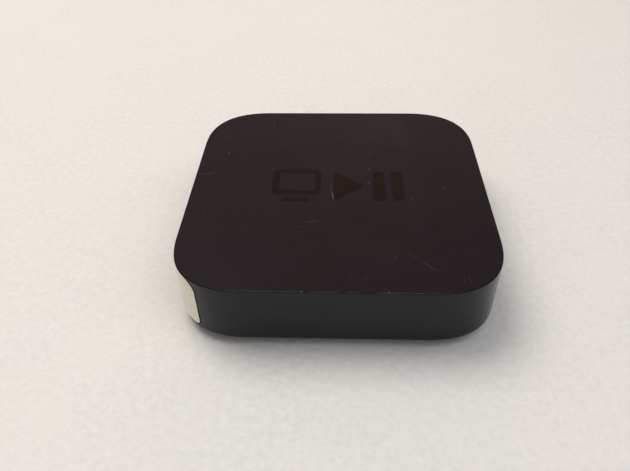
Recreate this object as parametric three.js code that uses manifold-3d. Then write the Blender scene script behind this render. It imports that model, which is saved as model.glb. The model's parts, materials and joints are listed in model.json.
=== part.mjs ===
// Streaming media player: a black set-top box, 98 mm square and 23 mm high, with its sockets behind.
// Millimetres, +Z up, the front towards -Y. The origin is on the standing surface, under the middle.

import * as THREE from "three";
import { mergeVertices } from "three/addons/utils/BufferGeometryUtils.js";
import Module from "manifold-3d";

const wasm = await Module();
wasm.setup();

// ---------------------------------------------------------------- driving dimensions

const SIDE = 98; // width and depth over the case
const HEIGHT = 23;
const CORNER = 23.5; // how much of a side each rounded corner takes up
const CORNER_POWER = 2.5; // a superellipse: 2 would be a plain circle
const CORNER_STEPS = 12;
const EDGE_STEPS = 3;

const FIT = 0.3; // gap between pieces cut to each other
const REST = 0.1; // gap between pieces that sit on each other

const CASE = { rim: 2.4, lowerEdge: 1.6, upperEdge: 0.5, ceiling: 21.2, ledge: 4, rimWall: 2, wall: 2.6 };
const FOOT = { top: 1, inset: 5.3, edge: 0.4 };
const COVER = { floor: 2.2, step: 2.7, top: 3.9, plinth: 5, inset: 2.25, pocket: 6.5 };
const HOOK = { width: 6, inner: 45, outer: 46.2, barb: 46.8, top: 6.6, at: 18 };
const LABEL = { thickness: 0.15, gap: 0.03, bottom: 5, top: 22.4, front: -40.7, back: -31.4 };

const LOGIC = { bottom: 7, top: 8.2, x: [-44, 12.8], y: [-24, 44.2] };
const POWER = { bottom: 7, top: 8.6, x: [15, 44], y: [-38, 44.2] };
const BOARD_INSET = 3.9; // boards follow the case's corners this far inside its outside
const SPREADER = { bottom: 4.2, top: 5.4, x: [-43, 11.5], y: [-23, 36], inset: 6 };
const TRAY = { bottom: 4, floor: 4.5, rim: 8, margin: 0.4, wall: 0.4 };

const SCREW = { shank: 1, pilot: 1.15, clearance: 1.3, head: 2, headHeight: 1.2, recess: 0.7, length: 10 };
const BOSS = 2.6;
const LOGIC_SCREWS = [[-37, 33], [-38, -18], [8.5, -19.5], [9, 30]];
const POWER_SCREWS = [[39, -32], [40, 34]];

const INLET = {
  x: 23, z: 13.6, half: [9.6, 4.9], nose: 4.7, y: [33, 48.4], shoulder: 45.2, recess: 36,
  pin: 1.18, pitch: 8.6, lobe: 3.9, web: 2.6, pinY: [31.4, 46.4],
};
const VIDEO = { x: 5, z: [8.3, 14.2], half: 7.6, wall: 0.5, cut: 1.9, y: [37, 48.4], tongue: [5.2, 0.6] };
const SERVICE = { x: 5, z: [4.1, 6.9], half: 3.95, wall: 0.4, cut: 0.9, y: [42, 48.4], tongue: [1.9, 0.3] };
const OPTICAL = {
  x: -9, z: [8.3, 17.8], half: 4.85, y: [35, 48.6], cavity: { half: 3.85, y: [38, 47.7], z: [9.3, 17] },
  mouth: { half: 3.5, z: [9.7, 16.5] }, pocket: { half: 2.2, z: [11.1, 15.1] },
};
const SHUTTER = { y: 47.2, z: 16.35, half: 3.65, drop: 6.85, thick: 0.7, barrel: 0.45, pin: 0.3, reach: 4.3 };
const NETWORK = {
  x: -23.5, half: 8, z: [8.3, 20], y: [33.5, 48.3], sheet: 0.5,
  mouth: { half: 5.9, z: [11.5, 18.2] }, slot: { half: 3.1, z: 9.6 }, recess: 36,
};
const SENSOR = { x: [-8, 6], y: [-45.4, -44.4], z: [8.5, 17], window: 1 };
const RECEIVER = { x: [-5, -1], z: [10, 14], depth: 1.2, dome: 1.5 };
const STATUS = { x: 3, z: 12, half: [0.8, 0.6], depth: 0.7, pipe: 0.9 };
const ANTENNA = { x: [-25, -10.4], y: [-46.2, -44], z: [8, 19], margin: 1, foil: [-43.9, -43.7] };

// ---------------------------------------------------------------- finishes

function finish(color, roughness, metalness = 0) {
  return new THREE.MeshStandardMaterial({ color, roughness, metalness });
}

const caseBlack = finish("#29272a", 0.35);
const coverBlack = finish("#1c1c1d", 0.6);
const rubber = finish("#161616", 0.85);
const paper = finish("#c0bbae", 0.8);
const socketBlack = finish("#121213", 0.5);
const steel = finish("#b9bbbd", 0.35, 1);
const nickel = finish("#c9c4b8", 0.3, 1);
const gold = finish("#d8b25a", 0.3, 1);
const laminate = finish("#1d4a33", 0.5);
const epoxy = finish("#1b1c1e", 0.55);
const aluminium = finish("#c6c8ca", 0.4, 1);
const ferrite = finish("#3a3a3c", 0.6);
const windingTape = finish("#d9b23c", 0.5);
const bobbinNylon = finish("#26272a", 0.6);
const sleeve = finish("#20242c", 0.4);
const filmBox = finish("#c9a63a", 0.5);
const fuseCeramic = finish("#d9d6cc", 0.5);
const copper = finish("#b4693a", 0.35, 1);
const polyimide = finish("#b8742a", 0.45);
const redWire = finish("#9c2320", 0.5);
const blackWire = finish("#17181a", 0.5);
const fishPaper = finish("#e2e0d6", 0.7);
const padGrey = finish("#8f9499", 0.8);
const clearPlastic = finish("#e8ecef", 0.15);

// ---------------------------------------------------------------- solids

function toSolid(geometry) {
  const bare = geometry.clone();
  bare.deleteAttribute("normal");
  bare.deleteAttribute("uv");
  const merged = mergeVertices(bare, 1e-4);
  const vertProperties = new Float32Array(merged.attributes.position.array);
  const triVerts = new Uint32Array(merged.index.array);
  return new wasm.Manifold(new wasm.Mesh({ numProp: 3, vertProperties, triVerts }));
}

function toGeometry(solid) {
  const { vertProperties, triVerts } = solid.getMesh();
  const geometry = new THREE.BufferGeometry();
  geometry.setAttribute("position", new THREE.BufferAttribute(vertProperties, 3));
  geometry.setIndex(new THREE.BufferAttribute(triVerts, 1));
  geometry.computeVertexNormals();
  return geometry;
}

function join(...shapes) {
  return toGeometry(shapes.map(toSolid).reduce((whole, next) => whole.add(next)));
}

function cut(shape, ...tools) {
  return toGeometry(tools.map(toSolid).reduce((whole, tool) => whole.subtract(tool), toSolid(shape)));
}

function common(shape, other) {
  return toGeometry(toSolid(shape).intersect(toSolid(other)));
}

// A box from its [low, high] spans.
function block(x, y, z) {
  const box = new THREE.BoxGeometry(x[1] - x[0], y[1] - y[0], z[1] - z[0]);
  return box.translate((x[0] + x[1]) / 2, (y[0] + y[1]) / 2, (z[0] + z[1]) / 2);
}

// The span of the given half-width about a middle.
function about(middle, half) {
  return [middle - half, middle + half];
}

// A span widened by the same amount at both ends.
function grown(span, by) {
  return [span[0] - by, span[1] + by];
}

// A cylinder along an axis, over a span of it, at its place in the other two.
function rod(axis, radius, span, at, sides = 14) {
  const length = span[1] - span[0];
  const middle = (span[0] + span[1]) / 2;
  const cylinder = new THREE.CylinderGeometry(radius, radius, length, sides);
  if (axis === "x") {
    return cylinder.rotateZ(Math.PI / 2).translate(middle, at[0], at[1]);
  }
  if (axis === "y") {
    return cylinder.translate(at[0], middle, at[1]);
  }
  return cylinder.rotateX(Math.PI / 2).translate(at[0], at[1], middle);
}

// A shape given by [x, y] corners and pushed along Z.
function prism(corners, span) {
  const shape = new THREE.Shape(corners.map(([x, y]) => new THREE.Vector2(x, y)));
  const depth = span[1] - span[0];
  return new THREE.ExtrudeGeometry(shape, { depth, bevelEnabled: false }).translate(0, 0, span[0]);
}

// A shape given by [x, z] corners and pushed along Y.
function prismAlongY(corners, span) {
  const flipped = corners.map(([x, z]) => [x, -z]);
  return prism(flipped, span).rotateX(-Math.PI / 2);
}

// A shape given by [y, z] corners and pushed along X.
function prismAlongX(corners, span) {
  return prism(corners, span).rotateX(Math.PI / 2).rotateZ(Math.PI / 2);
}

// A round lead through the given points.
function tube(points, radius, sides = 8) {
  const path = new THREE.CatmullRomCurve3(points.map((point) => new THREE.Vector3(...point)));
  const section = new THREE.Shape(new THREE.EllipseCurve(0, 0, radius, radius).getPoints(sides).slice(1));
  const steps = points.length * 4;
  return new THREE.ExtrudeGeometry(section, { steps, extrudePath: path, bevelEnabled: false });
}

// The case's rounded-square outline, moved inwards by inset, as points in order.
function outline(inset) {
  const points = [];
  for (let quarter = 0; quarter < 4; quarter += 1) {
    for (let step = 0; step <= CORNER_STEPS; step += 1) {
      const angle = (step / CORNER_STEPS) * (Math.PI / 2);
      const across = Math.abs(Math.cos(angle));
      const along = Math.sin(angle);
      const curve = new THREE.Vector2(across ** (2 / CORNER_POWER), along ** (2 / CORNER_POWER));
      const outward = new THREE.Vector2(across ** (2 - 2 / CORNER_POWER), along ** (2 - 2 / CORNER_POWER));
      curve.multiplyScalar(CORNER).addScalar(SIDE / 2 - CORNER);
      curve.addScaledVector(outward.normalize(), -inset);
      points.push(curve.rotateAround(new THREE.Vector2(), (quarter * Math.PI) / 2));
    }
  }
  return points;
}

// A closed solid through case outlines stacked upwards, each level a [z, inset] pair.
function loft(levels) {
  const positions = [];
  for (const [z, inset] of levels) {
    for (const point of outline(inset)) {
      positions.push(point.x, point.y, z);
    }
  }
  const count = 4 * (CORNER_STEPS + 1);
  const bottom = levels.length * count;
  const top = bottom + 1;
  positions.push(0, 0, levels[0][0], 0, 0, levels[levels.length - 1][0]);
  const index = [];
  for (let i = 0; i < count; i += 1) {
    const j = (i + 1) % count;
    index.push(bottom, j, i);
    index.push(top, bottom - count + i, bottom - count + j);
    for (let low = 0; low < bottom - count; low += count) {
      const high = low + count;
      index.push(low + i, low + j, high + j, low + i, high + j, high + i);
    }
  }
  const geometry = new THREE.BufferGeometry();
  geometry.setAttribute("position", new THREE.Float32BufferAttribute(positions, 3));
  geometry.setIndex(index);
  return geometry;
}

// Levels for a loft with straight walls and rounded lower and upper edges.
function roundedLevels([bottom, top], inset, lowRadius, highRadius) {
  const levels = [];
  for (let step = 0; step <= EDGE_STEPS; step += 1) {
    const angle = (step / EDGE_STEPS) * (Math.PI / 2);
    levels.push([bottom + lowRadius * (1 - Math.cos(angle)), inset + lowRadius * (1 - Math.sin(angle))]);
  }
  for (let step = 0; step <= EDGE_STEPS; step += 1) {
    const angle = (step / EDGE_STEPS) * (Math.PI / 2);
    levels.push([top - highRadius * (1 - Math.sin(angle)), inset + highRadius * (1 - Math.cos(angle))]);
  }
  return levels;
}

// The part of a shape that lies inside the case outline moved inwards by inset.
function insideCase(shape, inset) {
  return common(shape, loft([[0, inset], [HEIGHT, inset]]));
}

const player = new THREE.Group();

function add(name, material, shape) {
  const mesh = new THREE.Mesh(toGeometry(toSolid(shape)), material);
  mesh.name = name;
  player.add(mesh);
}

// ---------------------------------------------------------------- upper case

// A socket's cut-out in the rear wall, from inside the wall to past its outside.
const rearWall = [SIDE / 2 - 2 * CASE.wall, SIDE / 2 + 1];

// A long hole with round ends, in the rear wall's plane.
function stadium(middleX, middleZ, halfWidth, radius, span) {
  const reach = halfWidth - radius;
  const bar = block(about(middleX, reach), span, about(middleZ, radius));
  const ends = [-reach, reach].map((x) => rod("y", radius, span, [middleX + x, middleZ], 24));
  return join(bar, ...ends);
}

function screwBoss([x, y], boardTop) {
  return rod("z", BOSS, [boardTop + REST, CASE.ceiling + REST], [x, y], 16);
}

function pilotHole([x, y], boardTop) {
  return rod("z", SCREW.pilot, [boardTop - 1, CASE.ceiling - 2], [x, y], 12);
}

function addUpperCase() {
  const outside = loft(roundedLevels([CASE.rim, HEIGHT], 0, CASE.lowerEdge, CASE.upperEdge));
  const inside = loft([
    [CASE.rim - 1, CASE.rimWall],
    [CASE.ledge, CASE.rimWall],
    [CASE.ledge, CASE.wall],
    [CASE.ceiling, CASE.wall],
  ]);
  const shell = cut(outside, inside);
  const bosses = [
    ...LOGIC_SCREWS.map((place) => screwBoss(place, LOGIC.top)),
    ...POWER_SCREWS.map((place) => screwBoss(place, POWER.top)),
  ];
  const pilots = [
    ...LOGIC_SCREWS.map((place) => pilotHole(place, LOGIC.top)),
    ...POWER_SCREWS.map((place) => pilotHole(place, POWER.top)),
  ];
  const railSpan = [-SIDE / 2 + CASE.wall - REST, SENSOR.y[1] + 1];
  const rails = [SENSOR.x[0] - FIT - 1.3, SENSOR.x[1] + FIT].map((x) =>
    block([x, x + 1.3], railSpan, [SENSOR.z[0] - 0.5, CASE.ceiling + REST]),
  );
  const window = block(SENSOR.x, [-SIDE / 2 + SENSOR.window, -SIDE / 2 + 2 * CASE.wall], SENSOR.z);
  const sockets = [
    stadium(INLET.x, INLET.z, INLET.half[0] - 0.1 + FIT, INLET.nose + FIT, rearWall),
    block(about(VIDEO.x, VIDEO.half + FIT), rearWall, grown(VIDEO.z, FIT)),
    block(about(SERVICE.x, SERVICE.half + FIT), rearWall, grown(SERVICE.z, FIT)),
    block(about(OPTICAL.x, OPTICAL.half + FIT), rearWall, grown(OPTICAL.z, FIT)),
    block(about(NETWORK.x, NETWORK.half + FIT), rearWall, grown(NETWORK.z, FIT)),
  ];
  const notches = hooks((side) =>
    block(about(side, HOOK.width / 2 + 0.5), [SIDE / 2 - CASE.wall - 1, HOOK.barb + 0.4], [5, HOOK.top]),
  );
  const whole = join(shell, ...bosses, ...rails);
  add("upper_case", caseBlack, cut(whole, window, ...pilots, ...sockets, ...notches));
}

// Two copies on each of the four sides of what draw makes for the rear side, at a place along it.
function hooks(draw) {
  const copies = [];
  for (let quarter = 0; quarter < 4; quarter += 1) {
    for (const along of [-HOOK.at, HOOK.at]) {
      copies.push(draw(along).rotateZ((quarter * Math.PI) / 2));
    }
  }
  return copies;
}

// ---------------------------------------------------------------- bottom

function snapHook(along) {
  const profile = [
    [HOOK.inner, COVER.top - 0.4],
    [HOOK.outer, COVER.top - 0.4],
    [HOOK.outer, 5.3],
    [HOOK.barb, 5.5],
    [HOOK.outer, HOOK.top - FIT],
    [HOOK.inner, HOOK.top - FIT],
  ];
  return prismAlongX(profile, about(along, HOOK.width / 2));
}

function addBottom() {
  const plate = loft([
    [FOOT.top, COVER.plinth],
    [COVER.step, COVER.plinth],
    [COVER.step, COVER.inset],
    [COVER.top, COVER.inset],
  ]);
  const pocket = loft([[COVER.floor, COVER.pocket], [COVER.top + 1, COVER.pocket]]);
  add("bottom_cover", coverBlack, join(cut(plate, pocket), ...hooks(snapHook)));
  add("foot_pad", rubber, loft(roundedLevels([0, FOOT.top], FOOT.inset, FOOT.edge, 0)));
}

// ---------------------------------------------------------------- corner label

function addLabel() {
  const span = [LABEL.bottom, LABEL.top];
  const outer = loft(span.map((z) => [z, -LABEL.gap - LABEL.thickness]));
  const inner = loft(grown(span, 1).map((z) => [z, -LABEL.gap]));
  const corner = block([-SIDE, LABEL.front], [-SIDE, LABEL.back], grown(span, 1));
  add("corner_label", paper, common(cut(outer, inner), corner));
}

// ---------------------------------------------------------------- mains inlet

function addMainsInlet() {
  const { x, z, half, nose, y, shoulder, recess, pin, pitch, lobe, web, pinY } = INLET;
  const body = block(about(x, half[0]), [y[0], shoulder], about(z, half[1]));
  const snout = stadium(x, z, half[0] - 0.1, nose, [shoulder - 0.5, y[1]]);
  const mouth = [recess, y[1] + 1];
  const places = [x - pitch / 2, x + pitch / 2];
  const lobes = places.map((place) => rod("y", lobe, mouth, [place, z], 24));
  const holes = places.map((place) => rod("y", pin + FIT, [y[0] - 1, recess + 1], [place, z], 14));
  const bridge = block(about(x, pitch / 2), mouth, about(z, web));
  add("power_inlet_housing", socketBlack, cut(join(body, snout), join(...lobes, bridge), ...holes));
  places.forEach((place, index) => {
    const shaft = rod("y", pin, pinY, [place, z], 14);
    const tail = block(about(place, 0.6), [pinY[0], pinY[0] + 0.8], [POWER.top + REST, z]);
    add(`power_inlet_pin_${index + 1}`, nickel, join(shaft, tail));
  });
}

// ---------------------------------------------------------------- video and service sockets

// The section of a socket with cut lower corners, as [x, z] corners.
function socketSection({ x, z, half, cut: corner }, inset) {
  const low = z[0] + inset;
  const high = z[1] - inset;
  const side = half - inset;
  return [
    [x - side + corner, low],
    [x + side - corner, low],
    [x + side, low + corner],
    [x + side, high],
    [x - side, high],
    [x - side, low + corner],
  ];
}

function addTongueSocket(name, socket) {
  const { x, z, wall, y, tongue } = socket;
  const outer = prismAlongY(socketSection(socket, 0), y);
  const inner = prismAlongY(socketSection(socket, wall), grown(y, 1));
  add(`${name}_shell`, steel, cut(outer, inner));
  const middle = (z[0] + z[1]) / 2;
  const plug = prismAlongY(socketSection(socket, wall + 0.1), [y[0] + 0.3, y[0] + 2.3]);
  const blade = block(about(x, tongue[0]), [y[0] + 1, y[1] - 1.6], about(middle + 0.15, tongue[1]));
  add(`${name}_tongue`, socketBlack, join(plug, blade));
}

// ---------------------------------------------------------------- optical socket and its shutter

function addOpticalSocket() {
  const { x, z, half, y, cavity, mouth, pocket } = OPTICAL;
  const pivot = [SHUTTER.y, SHUTTER.z];
  const body = block(about(x, half), y, z);
  add(
    "optical_housing",
    socketBlack,
    cut(
      body,
      block(about(x, cavity.half), cavity.y, cavity.z),
      block(about(x, mouth.half), [cavity.y[1] - 1, y[1] + 1], mouth.z),
      block(about(x, pocket.half), [y[0] - 1, cavity.y[0] + 1], pocket.z),
      rod("x", SHUTTER.pin + REST, about(x, SHUTTER.reach + REST), pivot, 12),
    ),
  );
  const base = block(about(x, pocket.half - FIT), [y[0] + 0.2, cavity.y[0] + 0.2], grown(pocket.z, -FIT));
  const lens = rod("y", 0.9, [cavity.y[0], cavity.y[0] + 1.4], [x, (pocket.z[0] + pocket.z[1]) / 2], 12);
  add("optical_emitter", epoxy, join(base, lens));
}

const SPRING = { from: 2.3, to: 3.4, inner: 0.36, outer: 0.48, wire: 0.2, leg: 3 };

function addShutter() {
  const { x } = OPTICAL;
  const { y, z, half, drop, thick, barrel, pin, reach } = SHUTTER;
  const pivot = [y, z];
  const flap = block(about(x, half), about(y, thick / 2), [z - drop, z]);
  const relief = block([x + SPRING.from - 0.2, x + SPRING.to + 0.1], about(y, 1), [z - 0.9, z + 1]);
  const knuckle = rod("x", barrel, [x - half, x + half], pivot, 12);
  const trunnions = rod("x", pin, about(x, reach), pivot, 12);
  add("optical_shutter", socketBlack, join(cut(join(flap, knuckle), relief), trunnions));
  const coil = new THREE.LatheGeometry(
    [
      new THREE.Vector2(SPRING.inner, SPRING.from),
      new THREE.Vector2(SPRING.outer, SPRING.from),
      new THREE.Vector2(SPRING.outer, SPRING.to),
      new THREE.Vector2(SPRING.inner, SPRING.to),
      new THREE.Vector2(SPRING.inner, SPRING.from),
    ],
    12,
  ).rotateZ(-Math.PI / 2);
  coil.translate(x, y, z);
  const wire = [x + SPRING.to - SPRING.wire, x + SPRING.to];
  const ceilingLeg = block(wire, [y - SPRING.leg, y], [z + SPRING.outer - SPRING.wire, z + SPRING.outer]);
  const flapLeg = block(wire, [y - thick / 2 - 0.3, y - thick / 2 - 0.05], [z - SPRING.leg, z + 0.1]);
  add("shutter_spring", steel, join(coil, ceilingLeg, flapLeg));
}

// ---------------------------------------------------------------- network socket

function addNetworkSocket() {
  const { x, half, z, y, sheet, mouth, slot, recess } = NETWORK;
  const outer = block(about(x, half), y, z);
  const hollow = block(about(x, half - sheet), [y[0] + sheet, y[1] + 1], [z[0] - 1, z[1] - sheet]);
  add("network_shield", steel, cut(outer, hollow));
  const body = block(
    about(x, half - sheet - 0.15),
    [y[0] + sheet + 0.15, y[1] - 0.1],
    [z[0], z[1] - sheet - 0.15],
  );
  const opening = block(about(x, mouth.half), [recess, y[1] + 1], mouth.z);
  const latch = block(about(x, slot.half), [recess, y[1] + 1], [slot.z, mouth.z[0] + 0.5]);
  add("network_housing", socketBlack, cut(body, opening, latch));
  const bar = block(about(x, 4.7), [recess + FIT, recess + 1.3], [mouth.z[0] + 1, mouth.z[1] - FIT]);
  const fingers = [];
  for (let index = 0; index < 8; index += 1) {
    const place = x + (index - 3.5) * 1.02;
    const profile = [
      [recess + 1, mouth.z[1] - FIT - 0.3],
      [recess + 1, mouth.z[1] - FIT],
      [recess + 3, mouth.z[1] - FIT],
      [y[1] - 3, mouth.z[1] - 1.7],
      [y[1] - 3, mouth.z[1] - 2],
    ];
    fingers.push(prismAlongX(profile, about(place, 0.22)));
  }
  add("network_contacts", gold, join(bar, ...fingers));
}

// ---------------------------------------------------------------- logic board

const BOARD_SHIELD = { x: [-38, -14], y: [-10, 14], height: 2.6, sheet: 0.3 };
const BOARD_CAPACITORS = { places: [[-6, 24], [0, 24], [6, 22]], radius: 2.5, height: 5.6 };

// A flat packaged part standing on the logic board.
function chip(name, material, x, y, height) {
  add(name, material, block(x, y, [LOGIC.top + REST, LOGIC.top + REST + height]));
}

function screwHoles(places) {
  return places.map((place) => rod("z", SCREW.clearance, [0, CASE.ceiling], place, 12));
}

function addLogicBoard() {
  const board = insideCase(block(LOGIC.x, LOGIC.y, [LOGIC.bottom, LOGIC.top]), BOARD_INSET);
  add("logic_board", laminate, cut(board, ...screwHoles(LOGIC_SCREWS)));
  chip("flash_memory", epoxy, [-7, 5], [3, 15], 1);
  chip("power_controller", epoxy, [-9, -3], [-9, -3], 0.9);
  chip("network_transformer", epoxy, [-30, -17], [20, 29], 4);
  chip("wifi_module", steel, [-33, -21], [-22, -14], 1.8);
  chip("sensor_socket", fuseCeramic, [-4.2, 2.2], [-23.6, -20.6], 1.6);
  const { x, y, height, sheet } = BOARD_SHIELD;
  const lid = block(x, y, [LOGIC.top + REST, LOGIC.top + height]);
  const hollow = block(grown(x, -sheet), grown(y, -sheet), [LOGIC.top - 1, LOGIC.top + height - sheet]);
  add("board_shield", steel, cut(lid, hollow));
  BOARD_CAPACITORS.places.forEach((place, index) => {
    const { radius, height: rise } = BOARD_CAPACITORS;
    const can = rod("z", radius, [LOGIC.top + 0.9, LOGIC.top + rise], place, 16);
    const [footX, footY] = place.map((middle) => about(middle, radius + 0.1));
    const foot = block(footX, footY, [LOGIC.top + REST, LOGIC.top + 1]);
    add(`board_capacitor_${index + 1}`, aluminium, join(can, foot));
  });
}

function addCooling() {
  const { bottom, top, x, y, inset } = SPREADER;
  const plate = insideCase(block(x, y, [bottom, top]), inset);
  const posts = LOGIC_SCREWS.map((place) => rod("z", BOSS, [top - 0.5, LOGIC.bottom - REST], place, 16));
  add("heat_spreader", aluminium, cut(join(plate, ...posts), ...screwHoles(LOGIC_SCREWS)));
  add("processor", epoxy, block([-22, -8], [-2, 12], [LOGIC.bottom - 0.9, LOGIC.bottom - REST]));
  add("thermal_pad", padGrey, block([-21, -9], [-1, 11], [top + REST, LOGIC.bottom - 1]));
}

// ---------------------------------------------------------------- power supply

function addPowerBoard() {
  const { bottom, top, x, y } = POWER;
  const board = insideCase(block(x, y, [bottom, top]), BOARD_INSET);
  add("power_board", laminate, cut(board, ...screwHoles(POWER_SCREWS)));
  const { margin, wall, floor, rim } = TRAY;
  const outer = insideCase(
    block(grown(x, margin + wall), grown(y, margin + wall), [TRAY.bottom, rim]),
    BOARD_INSET - margin - wall,
  );
  const inner = insideCase(block(grown(x, margin), grown(y, margin), [floor, rim + 1]), BOARD_INSET - margin);
  add("power_tray", fishPaper, cut(outer, inner));
}

const TRANSFORMER = {
  x: 24, y: 4, z: 13.8, core: [7, 9, 2.5], leg: 2.5, window: [5.2, 5.5], coil: [4.9, 4.4],
};

function addTransformer() {
  const { x, y, z, core, leg, window: gap, coil } = TRANSFORMER;
  const ferriteBlock = block(about(x, core[0]), about(y, core[1]), about(z, core[2]));
  const windows = [-1, 1].map((sign) => {
    const span = [x + sign * leg, x + sign * gap[0]].sort((low, high) => low - high);
    return block(span, about(y, gap[1]), about(z, core[2] + 1));
  });
  add("transformer_core", ferrite, cut(ferriteBlock, ...windows));
  const winding = block(about(x, coil[0]), about(y, gap[1] - FIT), about(z, coil[1]));
  const eye = block(about(x, leg + FIT), about(y, gap[1] + 1), about(z, core[2] + FIT));
  add("transformer_winding", windingTape, cut(winding, eye));
  const base = block(about(x, 6.5), about(y, 8.8), [POWER.top + REST, z - coil[1] - REST]);
  const rails = [-7.4, 7.4].map((place) =>
    block(about(x, 6.5), about(y + place, 1.4), [POWER.top + REST, z - core[2] - REST]),
  );
  add("transformer_bobbin", bobbinNylon, join(base, ...rails));
}

// A standing electrolytic capacitor with a groove pressed round its foot.
function standingCan(name, material, [x, y], radius, height) {
  const low = POWER.top + REST;
  const profile = [
    [0, 0],
    [radius, 0],
    [radius, 1],
    [radius - 0.35, 1.4],
    [radius, 1.8],
    [radius, height - 0.3],
    [radius - 0.3, height],
    [0, height],
  ].map(([across, up]) => new THREE.Vector2(across, up));
  const can = new THREE.LatheGeometry(profile, 20).rotateX(Math.PI / 2);
  add(name, material, can.translate(x, y, low));
}

function addPowerParts() {
  const low = POWER.top + REST;
  standingCan("mains_capacitor", sleeve, [37, 8], 5.5, 11.6);
  standingCan("output_capacitor_1", sleeve, [20.5, -14.5], 4, 10.5);
  standingCan("output_capacitor_2", sleeve, [29.5, -14.5], 4, 10.5);
  add("filter_capacitor", filmBox, block([29, 34.5], [17, 29.5], [low, low + 9.5]));
  add("mains_fuse", fuseCeramic, block([37, 41.5], [18, 28], [low, low + 4.5]));
  const ring = new THREE.LatheGeometry(
    [[2.2, 0.8], [3, 0], [4.8, 0], [5.5, 0.8], [5.5, 5], [4.8, 5.8], [3, 5.8], [2.2, 5], [2.2, 0.8]].map(
      ([across, up]) => new THREE.Vector2(across, up),
    ),
    20,
  ).rotateX(Math.PI / 2);
  add("mains_choke", copper, ring.translate(21.5, 23.5, low));
}

// ---------------------------------------------------------------- leads between the boards

const LEAD = { radius: 0.75, plugEnd: 11, landing: 16, y: [-9.4, -6.9], z: 10.6, crest: 12.6 };

function addPowerLeads() {
  const low = LOGIC.top + REST;
  const span = [LEAD.y[0] - 1.5, LEAD.y[1] + 1.5];
  add("power_socket", fuseCeramic, cut(
    block([0, 6.5], span, [low, low + 4.6]),
    block([1, 7.5], grown(span, -0.8), [low + 1, low + 5.6]),
  ));
  add("power_plug", fuseCeramic, block([1.4, LEAD.plugEnd], grown(span, -1.1), [low + 1.3, low + 3.6]));
  ["power_lead_positive", "power_lead_negative"].forEach((name, index) => {
    const y = LEAD.y[index];
    const route = [
      [LEAD.plugEnd + FIT, y, LEAD.z],
      [LEAD.plugEnd + 1.5, y, LEAD.z + 0.1],
      [LEAD.landing - 1.6, y, LEAD.crest],
      [LEAD.landing - 0.1, y, LEAD.crest - 1.4],
      [LEAD.landing, y, POWER.top + FIT],
    ];
    add(name, index === 0 ? redWire : blackWire, tube(route, LEAD.radius));
  });
}

// ---------------------------------------------------------------- front sensor and antenna

// A flat strip of even thickness along a curve in the YZ plane.
function ribbon(points, thickness, x) {
  const line = new THREE.SplineCurve(points.map(([y, z]) => new THREE.Vector2(y, z)));
  const steps = 14;
  const sides = [[], []];
  for (let step = 0; step <= steps; step += 1) {
    const at = line.getPoint(step / steps);
    const along = line.getTangent(step / steps);
    const offset = new THREE.Vector2(-along.y, along.x).multiplyScalar(thickness / 2);
    sides[0].push([at.x + offset.x, at.y + offset.y]);
    sides[1].unshift([at.x - offset.x, at.y - offset.y]);
  }
  return prismAlongX([...sides[0], ...sides[1]], x);
}

function addSensor() {
  const { x, y, z } = SENSOR;
  add("sensor_board", laminate, block(grown(x, -0.1), y, z));
  const face = y[0] - REST;
  const body = block(RECEIVER.x, [face - RECEIVER.depth, face], RECEIVER.z);
  const [middleX, middleZ] = [RECEIVER.x, RECEIVER.z].map(([low, high]) => (low + high) / 2);
  const ball = new THREE.SphereGeometry(RECEIVER.dome, 14, 8);
  ball.translate(middleX, face - RECEIVER.depth + REST, middleZ);
  const clear = block(RECEIVER.x, [face - 2 * RECEIVER.depth, face], RECEIVER.z);
  add("ir_receiver", epoxy, join(body, common(ball, clear)));
  const [lampX, lampZ] = [about(STATUS.x, STATUS.half[0]), about(STATUS.z, STATUS.half[1])];
  add("status_led", clearPlastic, block(lampX, [face - STATUS.depth, face], lampZ));
  const pipeSpan = [-SIDE / 2 + SENSOR.window + REST, face - STATUS.depth - REST];
  add("light_pipe", clearPlastic, rod("y", STATUS.pipe, pipeSpan, [STATUS.x, STATUS.z], 12));
  const route = [[-23.8, 9.1], [-29, 9], [-36, 10], [-41, 11.5], [y[1] + 0.1, 12]];
  add("sensor_ribbon", polyimide, ribbon(route, 0.25, [-3.4, 1.4]));
}

function addAntenna() {
  const { x: width, y: depth, z: rise, margin, foil } = ANTENNA;
  const carrier = block(width, depth, rise);
  const slots = [-21.5, -16].map((x) => block([x, x + 2.6], [-45, -43], [10, 17]));
  add("antenna_carrier", bobbinNylon, cut(carrier, ...slots));
  const strip = block(grown(width, -margin), foil, grown(rise, -margin));
  const gaps = [block([-22, -13], [-45, -43], [11, 12.4]), block([-25, -15], [-45, -43], [14.2, 15.6])];
  add("wifi_antenna", copper, cut(strip, ...gaps));
  const route = [[-25, -22.2, 9.3], [-25, -26, 9.3], [-21, -35, 9.8], [-18, -40.5, 12.8], [-18, -43.5, 13.3]];
  add("antenna_cable", blackWire, tube(route, 0.6));
}

// ---------------------------------------------------------------- screws

function addScrews(name, places, headTop) {
  places.forEach(([x, y], index) => {
    const at = [x, y];
    const head = rod("z", SCREW.head, [headTop - SCREW.headHeight, headTop], at, 16);
    const shank = rod("z", SCREW.shank, [headTop - 0.5, headTop + SCREW.length], at, 12);
    const drive = rod("z", SCREW.recess, [headTop - SCREW.headHeight - 1, headTop - 0.5], at, 6);
    add(`${name}_${index + 1}`, steel, cut(join(head, shank), drive));
  });
}

addUpperCase();
addBottom();
addLabel();
addMainsInlet();
addTongueSocket("video", VIDEO);
addTongueSocket("service", SERVICE);
addOpticalSocket();
addShutter();
addNetworkSocket();
addLogicBoard();
addCooling();
addPowerBoard();
addTransformer();
addPowerParts();
addPowerLeads();
addSensor();
addAntenna();
addScrews("board_screw", LOGIC_SCREWS, SPREADER.bottom - REST);
addScrews("power_screw", POWER_SCREWS, POWER.bottom - REST);

export default player;
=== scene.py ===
"""Streaming media player: a small black set-top box, its sockets behind, on a pale floor."""

import json
import math

import bmesh
import bpy
from mathutils import Matrix, Vector


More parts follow.
